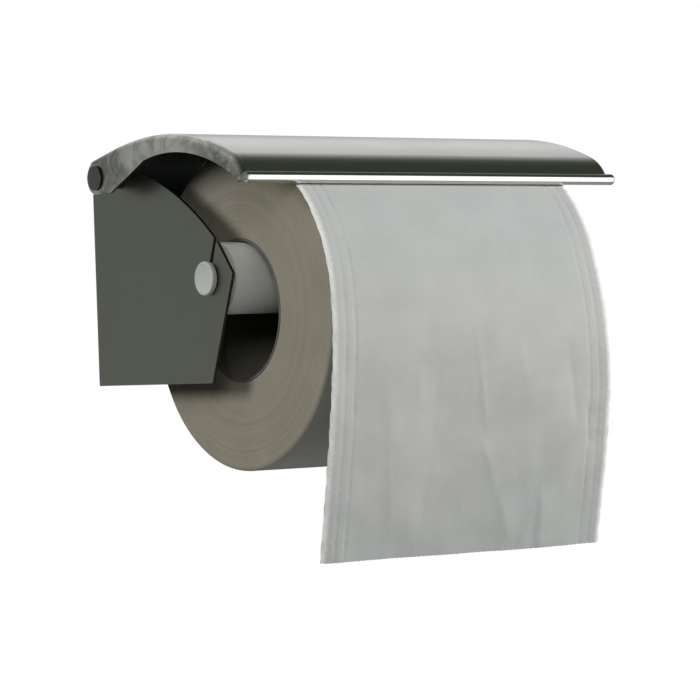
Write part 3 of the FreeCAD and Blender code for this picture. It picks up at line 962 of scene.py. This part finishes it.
# how the sheet is pressed and crinkled; the strip of knobs is in metres from the side
pressPlan = {"dashBeat": (-0.8, 0.4), "dashDepth": (0.62, 1.0), "wornScale": 90.0, "wornRange": (0.38, 0.62),
             "wornDepth": (0.55, 1.15), "knobsFrom": (0.0010, 0.0020), "knobsTo": (0.0030, 0.0040),
             "foldStretch": (1.0, 0.5, 1.0), "crinkle": (2.0, 0.45), "crinkleMiddle": 0.42}
sheetTissue = sheetMaterial(sheetLook, sheetShape["width"])


def smoothPath(points, count):
    # a uniform cubic B-spline that starts and ends at its first and last points
    control = np.array(points, float)
    control = np.concatenate(([2 * control[0] - control[1]], control, [2 * control[-1] - control[-2]]))
    found = []
    for share in np.linspace(0, len(control) - 3 - 1e-9, count):
        span, t = int(share), share - int(share)
        weights = ((1 - t) ** 3, 3 * t ** 3 - 6 * t ** 2 + 4, -3 * t ** 3 + 3 * t ** 2 + 3 * t + 1, t ** 3)
        found.append(np.array(weights) / 6 @ control[span:span + 4])
    return np.array(found)


def sheetEdge(shape, edge):
    # one side edge in the side view: round the roll, then down its free path, and never inside the roll
    centre, radius = np.array(places["roll"]), rollShape["radius"] + shape["gap"]
    leadAngles = [edge["leaves"] - back for back in shape["leads"]]
    wrappedAngles = np.linspace(shape["startAngle"], leadAngles[0], shape["wrappedPoints"])[:-1]
    lead, wrapped = ([swing(centre, radius, angle) for angle in angles] for angles in (leadAngles, wrappedAngles))
    hanging = np.array(places["spindle"]) + np.array(edge["path"])
    path = np.concatenate((wrapped, smoothPath(np.concatenate((lead, hanging)), shape["hangingPoints"])))
    away = path - centre
    size = np.linalg.norm(away, axis=1)
    return centre + away * (np.maximum(size, radius) / size)[:, None]


def pressedSheetTree(plan):
    # presses dashed bonding rows and small knobs beside both edges, and crinkles the sheet where it hangs free
    tree, given, result = newGroup("pressedSheet", "GeometryNodeTree", {
        "Geometry": "Geometry", "Width": "Float", "Outer Row": "Float", "Inner Row": "Float", "Row Width": "Float",
        "Row Depth": "Float", "Dash Pitch": "Float", "Knob Depth": "Float", "Crinkle Height": "Float",
        "Crinkle Scale": "Float", "Seed": "Float", "Material": "Material"}, {"Geometry": "Geometry"})
    flat, slack = (put("GeometryNodeInputNamedAttribute", {"Name": name}, tree, data_type=kind).outputs["Attribute"]
                   for name, kind in (("flatPlace", "FLOAT_VECTOR"), ("slack", "FLOAT")))
    across, along = split(flat)[:2]
    fromSide = maths("MINIMUM", across, maths("SUBTRACT", given["Width"], across))
    rows = []
    for name in ("Outer Row", "Inner Row"):
        away = maths("ABSOLUTE", maths("SUBTRACT", fromSide, given[name]))
        rows.append(fall(maths("DIVIDE", away, given["Row Width"]), 0.0, 1.0))
    beat = times(maths("DIVIDE", along, given["Dash Pitch"]), 2 * math.pi)
    dashes = ramp(maths("SINE", beat), *plan["dashBeat"], *plan["dashDepth"])
    pressed = times(times(maths("ADD", *rows), dashes), given["Row Depth"])
    strip = times(ramp(fromSide, *plan["knobsFrom"]), fall(fromSide, *plan["knobsTo"]))
    knobs = times(times(strip, maths("COSINE", beat)), given["Knob Depth"])
    worn = noise(plan["wornScale"], vector=flat, w=given["Seed"])
    worn = ramp(worn, *plan["wornRange"], *plan["wornDepth"])
    sunk = times(maths("SUBTRACT", pressed, knobs), worn)
    folds = vectorMaths("MULTIPLY", flat, plan["foldStretch"])
    crinkle = noise(given["Crinkle Scale"], *plan["crinkle"], vector=folds, w=given["Seed"])
    crinkle = maths("SUBTRACT", crinkle, plan["crinkleMiddle"])
    rise = times(times(crinkle, given["Crinkle Height"]), slack)
    lift = maths("SUBTRACT", rise, sunk)
    facing = tree.nodes.new("GeometryNodeInputNormal").outputs[0]
    offset = put("ShaderNodeVectorMath", {0: facing, "Scale": lift}, operation="SCALE").outputs[0]
    moved = put("GeometryNodeSetPosition", {"Geometry": given["Geometry"], "Offset": offset})
    return paintedTree(tree, moved, given, result)


def creaseRise(shape, across, along):
    rise = 0.0
    for x0, y0, x1, y1, height, leftWidth, rightWidth in shape["creases"]:
        run = np.array((x1 - x0, y1 - y0), float)
        offset = np.array((across - x0, along - y0))
        share = float(offset @ run) / float(run @ run)
        aside = float(run[1] * offset[0] - run[0] * offset[1]) / np.linalg.norm(run)
        if run[1] < 0:
            aside = -aside
        width = rightWidth if aside > 0 else leftWidth
        fade = smooth(share / shape["creaseStart"]) * smooth((1 - share) / shape["creaseEnd"])
        rise += height * fade * math.exp(-abs(aside) / width)
    return rise


def sheetColumns(shape):
    # columns across the sheet, closer together at its edges and where the rows are pressed
    wide = shape["width"]
    spots = list(np.linspace(0, wide, shape["columns"]))
    pressed = np.linspace(-shape["pressedReach"], shape["pressedReach"], shape["pressedColumns"]) * shape["rowWidth"]
    for inset in [inset + away for inset in shape["rowInsets"] for away in pressed] + list(shape["edgeColumns"]):
        spots += [inset, wide - inset]
    kept = [0.0]
    for spot in sorted(spots):
        if spot - kept[-1] > shape["columnGap"]:
            kept.append(float(spot))
    kept[-1] = wide
    return kept


def looseSheet(shape):
    paths = [sheetEdge(shape, shape[name]) for name in ("left", "right")]
    lengths = [runAlong(path)[-1] for path in paths]
    length = sum(lengths) / 2
    hidden = np.linspace(0, shape["hiddenRun"], shape["hiddenRows"])
    runs = np.concatenate((hidden[:-1], np.linspace(shape["hiddenRun"], length, shape["rows"])))
    left, right = (pointsAt(path, runs * own / length) for path, own in zip(paths, lengths))
    columns, wide = sheetColumns(shape), shape["width"]
    rows, flat, slack = [], [], []
    for index, along in enumerate(runs):
        free = smooth((along - shape["slackFrom"]) / shape["slackOver"])
        curlWaves, frayWaves = ([math.sin(along * pace + start) for pace, start in shape[name]]
                                for name in ("curlPaces", "frayPaces"))
        curl = shape["edgeCurl"] * (shape["curlSteady"] + (1 - shape["curlSteady"]) * math.prod(curlWaves))
        fray = shape["fray"] * (shape["fraySteady"] + shape["frayWave"] * sum(frayWaves))
        tear = shape["teeth"] * smooth((along - length + shape["toothRun"]) / shape["toothRun"])
        inward = np.array(places["roll"]) - (left[index] + right[index]) / 2
        inward = inward / np.linalg.norm(inward)
        row = []
        for across in columns:
            share, fromSide = across / wide, min(across, wide - across)
            bowed = (1 - shape["bow"]) * share + shape["bow"] * smooth(share)
            spot = left[index] + (right[index] - left[index]) * bowed
            spot = spot + inward * curl * max(1 - fromSide / shape["curlWidth"], 0.0) ** 2
            ragged = fray * max(1 - fromSide / shape["frayWidth"], 0.0)
            tooth = tear * abs(math.sin(math.pi * across / shape["toothPitch"]))
            x = across - wide / 2 + (ragged if share < 0.5 else -ragged)
            row.append((x * mm, (spot[0] - creaseRise(shape, across, along) * free) * mm, (spot[1] + tooth) * mm))
            flat.append((across * mm, along * mm, 0.0))
            slack.append(free)
        rows.append(row)
    mesh = gridMesh("looseSheet", rows)
    for name, kind, field, values in (("flatPlace", "FLOAT_VECTOR", "vector", flat),
                                      ("slack", "FLOAT", "value", slack)):
        mesh.attributes.new(name, kind, "POINT").data.foreach_set(field, np.array(values, np.float32).ravel())
    if mesh.polygons[-1].normal.y > 0:
        mesh.flip_normals()
    piece = linkPiece("looseSheet", mesh)
    runTree(piece, pressedSheetTree(pressPlan), {
        "Width": wide * mm, "Outer Row": shape["rowInsets"][0] * mm, "Inner Row": shape["rowInsets"][1] * mm,
        "Row Width": shape["rowWidth"] * mm, "Row Depth": shape["rowDepth"] * mm, "Dash Pitch": shape["dashPitch"] * mm,
        "Knob Depth": shape["knobDepth"] * mm, "Crinkle Height": shape["crinkleHeight"] * mm,
        "Crinkle Scale": shape["crinkleScale"] / mm, "Seed": shape["seed"], "Material": sheetTissue})
    plies = piece.modifiers.new("plies", "SOLIDIFY")
    plies.thickness = shape["thickness"] * mm
    plies.offset = 0
    settle(piece)
    shadeRound(piece.data, shape["sharpAngle"])
    dress(piece, sheetTissue, "bracket", "loose_sheet")
    print("sheet made:", round(length, 1), "mm long,", len(columns), "columns,", len(runs), "rows")


looseSheet(sheetShape)


# Studio: the photograph's camera, soft lamps, a pale floor and a white background

# degrees and millimetres from the spindle's axis; near is in metres
photoView = {"turn": 35.5, "tilt": -0.14, "roll": -2.0, "distance": 923.47, "aside": -7.33, "below": -22.74,
             "lens": 154.66, "sensor": 36, "near": 0.01}


def placeCamera(view):
    turn, tilt, roll = (math.radians(view[name]) for name in ("turn", "tilt", "roll"))
    ahead = Vector((math.sin(turn) * math.cos(tilt), math.cos(turn) * math.cos(tilt), -math.sin(tilt)))
    level = Vector((math.cos(turn), -math.sin(turn), 0))
    upright = level.cross(ahead)
    right = level * math.cos(roll) + upright * math.sin(roll)
    up = -level * math.sin(roll) + upright * math.cos(roll)
    aim = Vector((0, *places["spindle"]))
    spot = (aim - ahead * view["distance"] + right * view["aside"] + up * view["below"]) * mm
    camera = bpy.data.objects.new("camera", bpy.data.cameras.new("camera"))
    camera.data.lens = view["lens"]
    camera.data.sensor_width = view["sensor"]
    camera.data.clip_start = view["near"]
    camera.matrix_world = Matrix.Translation(spot) @ Matrix((right, up, -ahead)).transposed().to_4x4()
    scene.collection.objects.link(camera)
    scene.camera = camera


studio = {
    # soft light from all round by height, then what metal sees above and below the horizon
    "ambientHigh": 0.18, "ambientLow": 0.0, "ambientHeight": (-0.25, 0.5), "level": 0.47, "below": 0.34,
    "horizon": (-0.30, -0.02), "darkTint": (0.95, 1.05, 0.84), "tintRange": (0.06, 0.25),
    # what metal sees round it: direction, half-angles of the full and the faded part in degrees, level
    "cards": (((0.60, 0.55, 0.57), 8.0, 28.0, 0.84),
              ((-0.75, 0.66, 0.0), 30.0, 60.0, 0.28),
              ((-0.72, -0.30, 0.62), 20.0, 45.0, 0.32),
              ((0.58, -0.45, 0.68), 8.0, 81.0, 0.05),
              ((0.58, -0.80, -0.06), 30.0, 42.0, 1.8)),
    # lamps: place and size in metres, watts
    "lamps": (("keyLamp", (0.85, -1.20, 0.52), 0.8, 22.0),
              ("sideLamp", (-1.15, 0.30, 0.40), 0.5, 7.4),
              ("leftFill", (-0.72, -0.85, 0.45), 0.5, 2.6),
              ("backLamp", (0.45, 1.25, 0.45), 0.6, 7.0)),
    "lampAim": (0, -0.06, 0),
    "floorDrop": 0.55, "floorRadius": 0.70, "floorTurns": 65, "floorRings": 13, "floorColour": (0.78, 0.78, 0.77),
    "floorShade": 0.96, "floorGrain": (30.0, 4.0), "floorRough": 0.9, "floorFade": (0.3, 0.95),
}


def studioWorld(plan):
    world = bpy.data.worlds.new("studio")
    scene.world = world
    world.use_nodes = True
    tree = world.node_tree
    tree.nodes.clear()
    direction = tree.nodes.new("ShaderNodeTexCoord").outputs["Generated"]
    height = split(direction)[2]
    level = ramp(height, *plan["horizon"], plan["below"], plan["level"])
    for aim, full, fade, brightness in plan["cards"]:
        facing = vectorMaths("DOT_PRODUCT", direction, tuple(Vector(aim).normalized()))
        mask = ramp(facing, math.cos(math.radians(fade)), math.cos(math.radians(full)))
        level = scaled(mask, maths("SUBTRACT", brightness, level), level)
    white = (1.0, 1.0, 1.0, 1.0)
    tint = blendColours(ramp(level, *plan["tintRange"]), plan["darkTint"], white[:3])
    ambient = ramp(height, *plan["ambientHeight"], plan["ambientLow"], plan["ambientHigh"])
    path = tree.nodes.new("ShaderNodeLightPath").outputs
    seen = put("ShaderNodeBackground", {"Color": white, "Strength": 1.0}, tree).outputs[0]
    mirrored = put("ShaderNodeBackground", {"Color": tint, "Strength": level}).outputs[0]
    soft = put("ShaderNodeBackground", {"Color": white, "Strength": ambient}).outputs[0]
    glossy = maths("MAXIMUM", path["Is Glossy Ray"], path["Is Transmission Ray"])
    lit = put("ShaderNodeMixShader", {0: glossy, 1: soft, 2: mirrored}).outputs[0]
    put("ShaderNodeOutputWorld", {"Surface": put("ShaderNodeMixShader", {
        0: path["Is Camera Ray"], 1: lit, 2: seen}).outputs[0]})


def studioLamps(plan):
    aim = Vector(plan["lampAim"])
    for name, spot, size, watts in plan["lamps"]:
        lamp = bpy.data.lights.new(name, "AREA")
        lamp.shape = "DISK"
        lamp.size = size
        lamp.energy = watts
        holder = bpy.data.objects.new(name, lamp)
        holder.location = spot
        holder.rotation_mode = "QUATERNION"
        holder.rotation_quaternion = (aim - Vector(spot)).to_track_quat("-Z", "Y")
        holder.visible_glossy = False
        scene.collection.objects.link(holder)


def studioFloor(plan):
    # a pale disc below the part that fades out before its edge
    turns = np.linspace(0, 2 * math.pi, plan["floorTurns"])
    rows = [[(radius * math.cos(turn), radius * math.sin(turn), -plan["floorDrop"]) for turn in turns]
            for radius in np.linspace(0, plan["floorRadius"], plan["floorRings"])]
    floor = linkPiece("floor", gridMesh("floor", rows))
    closeSeams(floor.data)
    material, shader, coordinates = startMaterial("paleFloor")
    grain = noise(*plan["floorGrain"], vector=coordinates)
    pale = plan["floorColour"]
    shade = tuple(part * plan["floorShade"] for part in pale)
    feed(shader.inputs["Base Color"], blendColours(grain, pale, shade))
    shader.inputs["Roughness"].default_value = plan["floorRough"]
    out = vectorMaths("LENGTH", vectorMaths("MULTIPLY", coordinates, (1, 1, 0)))
    fade = ramp(out, *(plan["floorRadius"] * share for share in plan["floorFade"]))
    nodes = material.node_tree.nodes
    clear = nodes.new("ShaderNodeBsdfTransparent").outputs[0]
    mixed = put("ShaderNodeMixShader", {0: fade, 1: shader.outputs[0], 2: clear}).outputs[0]
    feed(next(node for node in nodes if node.type == "OUTPUT_MATERIAL").inputs["Surface"], mixed)
    floor.data.materials.append(material)


placeCamera(photoView)
studioWorld(studio)
studioLamps(studio)
studioFloor(studio)
scene.view_settings.view_transform = "Standard"
print("studio made")
